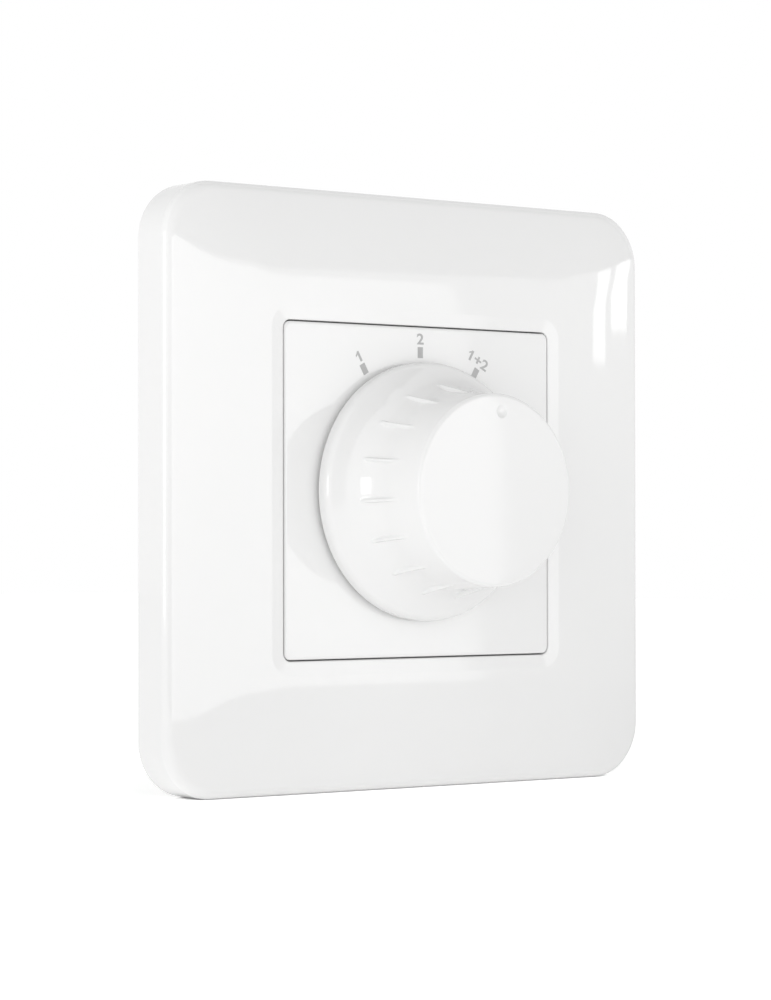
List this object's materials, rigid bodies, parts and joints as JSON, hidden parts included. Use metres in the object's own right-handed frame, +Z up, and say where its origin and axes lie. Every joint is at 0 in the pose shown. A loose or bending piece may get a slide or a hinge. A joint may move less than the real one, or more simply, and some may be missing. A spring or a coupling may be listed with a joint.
{
  "type": "speaker selector switch",
  "caption": "Square flush wall unit with a domed white frame, a centre plate and a turning knob that routes one amplifier to speaker pair 1, pair 2 or both.",
  "frame": {"origin": "centre of the wall plane, on the knob's axis and midway between the bracket's two screw slots", "axes": "-Y out of the wall towards the room along the knob's axis, +Z up, +X to the right seen from the room"},
  "size_m": [0.081, 0.0488, 0.081],
  "materials": {
    "frame_white": "polished white moulding",
    "plate_white": "polished white moulding with grey printed marks",
    "knob_white": "polished white moulding",
    "spring_steel": "blued spring steel",
    "zinc_steel": "zinc-plated sheet steel",
    "die_cast": "zinc die casting",
    "nickel_brass": "nickel-plated brass",
    "turned_steel": "turned steel",
    "natural_acetal": "natural acetal",
    "black_moulding": "black glass-filled moulding",
    "plated_contact": "silver-plated brass",
    "screw_steel": "zinc-plated screw steel",
    "board_laminate": "glass laminate with green solder resist",
    "terminal_moulding": "green moulding",
    "plated_steel": "nickel-plated steel",
    "housing_grey": "light grey moulding"
  },
  "bodies": {
    "wall_unit": {"outer_frame": "frame_white", "centre_plate": "plate_white", "support_bracket": "zinc_steel", "switch_bush": "die_cast", "bush_nuts": "nickel_brass", "lock_washer": "zinc_steel", "index_housing": "black_moulding", "index_spring": "spring_steel", "fixed_contacts": "plated_contact", "switch_base": "black_moulding", "switch_screws": "screw_steel", "circuit_board": "board_laminate", "amplifier_terminals": "terminal_moulding", "pair_1_terminals": "terminal_moulding", "pair_2_terminals": "terminal_moulding", "terminal_clamps": "plated_steel", "terminal_screws": "screw_steel", "rear_housing": "housing_grey", "housing_screws": "screw_steel"},
    "selector": {"knob": "knob_white", "knob_spring": "spring_steel", "shaft": "turned_steel", "shaft_ring": "spring_steel", "index_wheel": "natural_acetal", "rotor": "natural_acetal", "moving_contacts": "plated_contact"}
  },
  "joints": [
    {"name": "knob_turn", "type": "hinge", "parent": "wall_unit", "child": "selector", "pos_m": [0, 0, 0], "axis": [0, 1, 0], "range_deg": [-30, 30], "deforming": ["index_spring"]}
  ]
}
